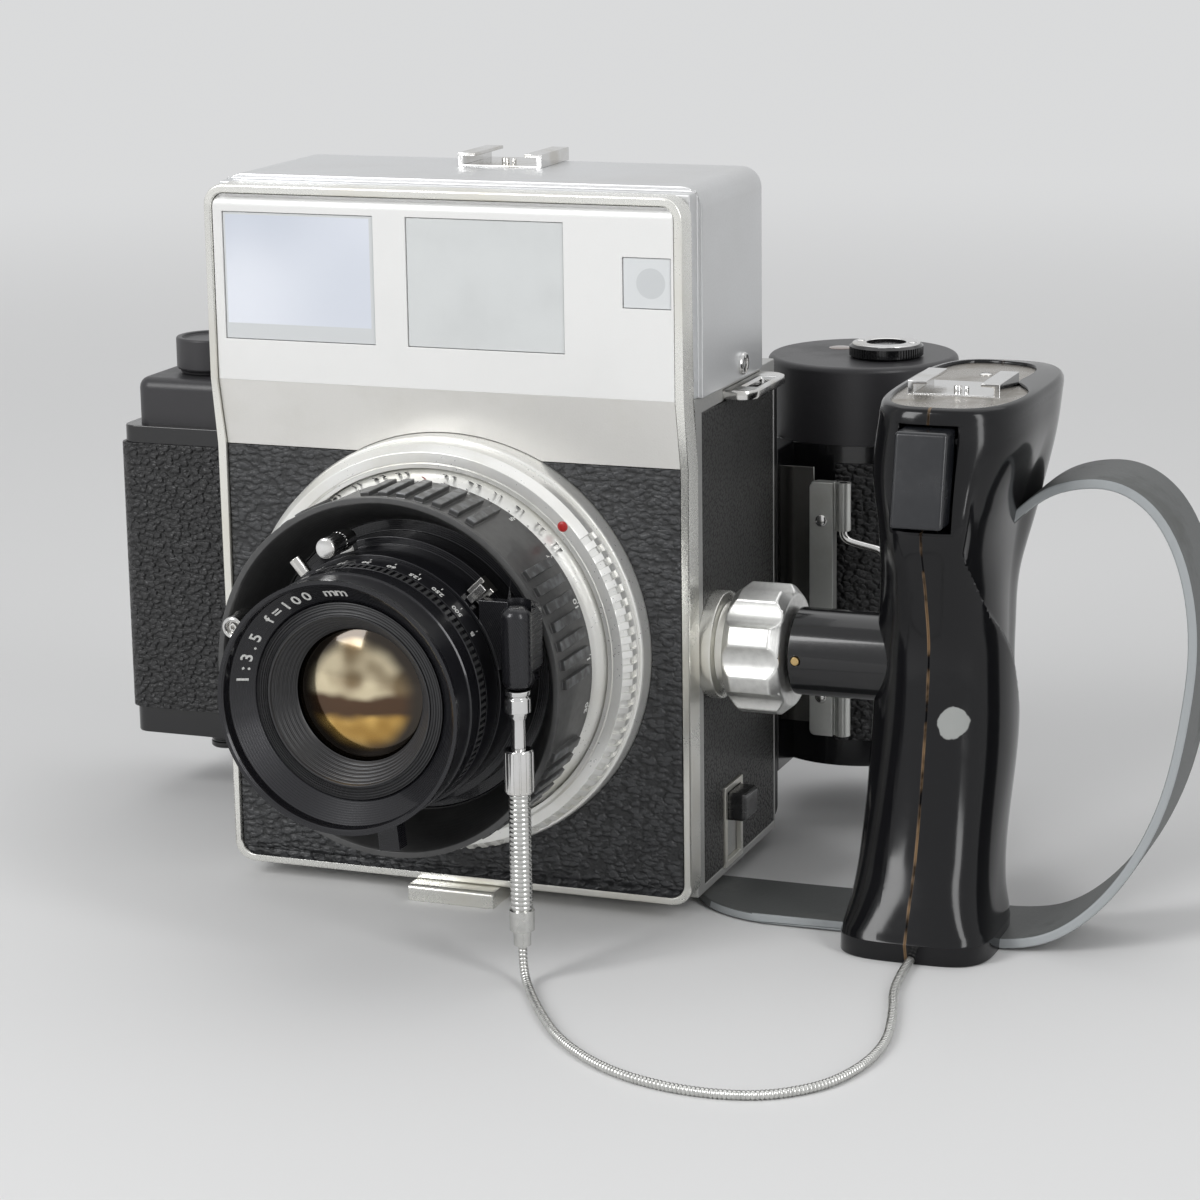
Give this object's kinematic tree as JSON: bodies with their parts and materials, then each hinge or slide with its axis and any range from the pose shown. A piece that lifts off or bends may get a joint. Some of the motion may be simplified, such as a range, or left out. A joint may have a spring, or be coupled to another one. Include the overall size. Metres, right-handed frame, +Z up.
{
  "type": "press camera",
  "caption": "Large rangefinder press camera with a leaf-shutter lens, roll-film holder, side grip with wrist strap and a cable release.",
  "frame": {"origin": "centre of the small tripod socket's mouth, on the plane the camera stands on", "axes": "+Z up, the lens looks along -Y, +X towards the grip (the right of a person who faces the lens)"},
  "size_m": [0.2895, 0.2339, 0.1744],
  "materials": {
    "cast_body": "satin casting",
    "bright_trim": "bright satin",
    "white_paint": "silver-white satin paint",
    "name_plate": "grained satin",
    "leather": "pebbled black leatherette",
    "side_cover": "fine-grained black leatherette",
    "housing": "satin silver",
    "window": "frosted",
    "clear_glass": "polished",
    "coated_glass": "amber coated",
    "black_plastic": "matte",
    "gloss_black": "glossy moulded",
    "black_metal": "black anodised",
    "black_casting": "satin black paint",
    "lens_silver": "pearl satin",
    "chrome": "polished",
    "slide_metal": "satin",
    "steel_blades": "blued",
    "brass": "turned",
    "grey_rubber": "matte grey",
    "coil_steel": "wound wire",
    "spool_plastic": "matte"
  },
  "bodies": {
    "camera": {"body_shell": "cast_body", "front_trim": "bright_trim", "front_cover": "white_paint", "name_band": "name_plate", "front_leather": "leather", "side_leather": "side_cover", "finder_housing": "housing", "frame_window": "window", "finder_window": "window", "range_window": "window", "finder_prism": "clear_glass", "eyepiece": "black_plastic", "body_shoe": "chrome", "strap_lugs": "chrome", "base_foot": "bright_trim", "mount_flange": "lens_silver", "grip_socket": "bright_trim", "lock_bezel": "bright_trim", "back_standard": "black_casting", "depth_scale_ring": "lens_silver", "holder_shell": "black_casting", "holder_leather": "leather", "supply_cap": "black_plastic", "takeup_cap": "black_plastic", "grip_left": "gloss_black", "grip_right": "gloss_black", "grip_arm": "black_metal", "grip_plate": "chrome", "grip_pins": "brass", "wrist_strap": "grey_rubber"},
    "lock_button": {"lock_button": "black_plastic"},
    "lock_ring": {"lock_ring": "lens_silver"},
    "focus_ring": {"focus_ring": "black_metal"},
    "lens_barrel": {"lens_barrel": "black_metal", "shutter_blades": "steel_blades", "front_cell": "black_metal", "front_glass": "coated_glass", "rear_glass": "coated_glass", "sync_socket": "chrome", "release_fitting": "chrome", "cable_sleeve": "coil_steel", "release_cable": "coil_steel"},
    "speed_ring": {"speed_ring": "black_metal"},
    "aperture_ring": {"aperture_ring": "black_metal"},
    "cocking_lever": {"cocking_lever": "chrome"},
    "release_lever": {"release_lever": "chrome"},
    "flash_selector": {"flash_selector": "chrome"},
    "grip_knob": {"grip_knob": "bright_trim"},
    "trigger": {"trigger": "gloss_black"},
    "supply": {"supply_knob": "black_plastic", "supply_spool": "spool_plastic"},
    "spool_pin": {"spool_pin": "black_metal"},
    "takeup": {"wind_knob": "black_plastic", "takeup_spool": "spool_plastic"},
    "film_roller_left": {"film_roller_left": "slide_metal"},
    "film_roller_right": {"film_roller_right": "slide_metal"},
    "dark_slide": {"dark_slide": "slide_metal"},
    "slide_bail": {"slide_bail": "chrome"},
    "back_door": {"back_door": "black_casting", "pressure_plate": "black_metal"}
  },
  "joints": [
    {"name": "lock_button_slide", "type": "slide", "parent": "camera", "child": "lock_button", "axis": [0, 0, -1], "range_m": [0, 0.0095]},
    {"name": "lock_ring_turn", "type": "hinge", "parent": "camera", "child": "lock_ring", "pos_m": [0, -0.03, 0.064], "axis": [0, -1, 0], "range_deg": [0, 35]},
    {"name": "focus_travel", "type": "slide", "parent": "camera", "child": "lens_barrel", "axis": [0, -1, 0], "range_m": [0, 0.011]},
    {"name": "focus_turn", "type": "hinge", "parent": "camera", "child": "focus_ring", "pos_m": [0, -0.05, 0.064], "axis": [0, 1, 0], "range_deg": [0, 200]},
    {"name": "speed_turn", "type": "hinge", "parent": "lens_barrel", "child": "speed_ring", "pos_m": [0, -0.07, 0.064], "axis": [0, 1, 0], "range_deg": [-40, 60]},
    {"name": "aperture_turn", "type": "hinge", "parent": "lens_barrel", "child": "aperture_ring", "pos_m": [0, -0.074, 0.064], "axis": [0, 1, 0], "range_deg": [0, 90]},
    {"name": "cocking_turn", "type": "hinge", "parent": "lens_barrel", "child": "cocking_lever", "pos_m": [0, -0.062, 0.064], "axis": [0, 1, 0], "range_deg": [0, 35], "stiffness_Nm_per_rad": 0.02, "springref_deg": -17.19},
    {"name": "release_turn", "type": "hinge", "parent": "lens_barrel", "child": "release_lever", "pos_m": [0, -0.062, 0.064], "axis": [0, -1, 0], "range_deg": [0, 12], "stiffness_Nm_per_rad": 0.02, "springref_deg": -17.19},
    {"name": "selector_turn", "type": "hinge", "parent": "lens_barrel", "child": "flash_selector", "pos_m": [0, -0.062, 0.064], "axis": [0, 1, 0], "range_deg": [0, 10]},
    {"name": "grip_knob_turn", "type": "hinge", "parent": "camera", "child": "grip_knob", "pos_m": [0.071, -0.004, 0.0627], "axis": [1, 0, 0], "continuous": true},
    {"name": "trigger_pull", "type": "hinge", "parent": "camera", "child": "trigger", "pos_m": [0.114, -0.0185, 0.117], "axis": [1, 0, 0], "range_deg": [0, 8], "stiffness_Nm_per_rad": 0.2, "springref_deg": -5.73},
    {"name": "supply_turn", "type": "hinge", "parent": "camera", "child": "supply", "pos_m": [-0.0985, 0.051, 0.064], "axis": [0, 0, 1], "continuous": true},
    {"name": "spool_pin_pull", "type": "slide", "parent": "camera", "child": "spool_pin", "axis": [0, 0, -1], "range_m": [0, 0.005], "stiffness_N_per_m": 200, "springref_m": -0.004},
    {"name": "takeup_turn", "type": "hinge", "parent": "camera", "child": "takeup", "pos_m": [0.076, 0.079, 0.064], "axis": [0, 0, 1], "continuous": true},
    {"name": "roller_left_turn", "type": "hinge", "parent": "camera", "child": "film_roller_left", "pos_m": [-0.05, 0.0571, 0.058], "axis": [0, 0, 1], "continuous": true},
    {"name": "roller_right_turn", "type": "hinge", "parent": "camera", "child": "film_roller_right", "pos_m": [0.05, 0.0571, 0.058], "axis": [0, 0, 1], "continuous": true},
    {"name": "dark_slide_pull", "type": "slide", "parent": "camera", "child": "dark_slide", "axis": [1, 0, 0], "range_m": [0, 0.092]},
    {"name": "bail_swing", "type": "hinge", "parent": "dark_slide", "child": "slide_bail", "pos_m": [0.0735, 0.0502, 0.06], "axis": [0, 0, 1], "range_deg": [-90, 30]},
    {"name": "door_swing", "type": "hinge", "parent": "camera", "child": "back_door", "pos_m": [-0.1148, 0.0653, 0.058], "axis": [0, 0, 1], "range_deg": [0, 100]}
  ],
  "couplings": [
    {"joint": "focus_turn", "follows": "focus_travel", "rad_per_m": 317.33}
  ]
}
